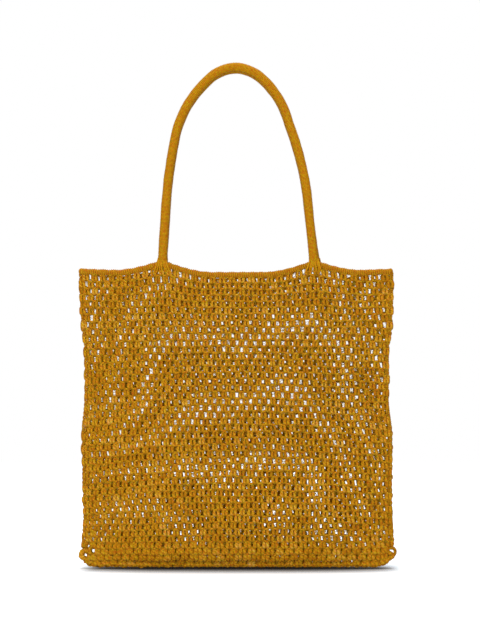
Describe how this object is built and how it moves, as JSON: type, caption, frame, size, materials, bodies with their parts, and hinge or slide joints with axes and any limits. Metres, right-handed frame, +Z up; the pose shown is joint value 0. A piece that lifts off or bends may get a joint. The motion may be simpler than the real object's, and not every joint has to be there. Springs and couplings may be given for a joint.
{
  "type": "tote bag",
  "caption": "Flat crocheted net tote bag with a rope-like rim and long round wound handles, shown hanging.",
  "frame": {"origin": "hang_point, the underside of the handles' tops in the middle of the bag's depth", "axes": "+Z up along the bag's height, +X along its width, -Y out of the front panel"},
  "size_m": [0.3797, 0.0529, 0.6091],
  "materials": {
    "net_yarn": "matt ochre crochet net",
    "seam_yarn": "matt ochre crochet edging",
    "handle_yarn": "ochre yarn, tightly wound"
  },
  "bodies": {
    "root": {"front_panel": "net_yarn", "back_panel": "net_yarn", "left_side_seam": "seam_yarn", "right_side_seam": "seam_yarn", "base_seam": "seam_yarn", "rim_band": "seam_yarn", "front_handle": "handle_yarn", "back_handle": "handle_yarn"}
  },
  "joints": []
}
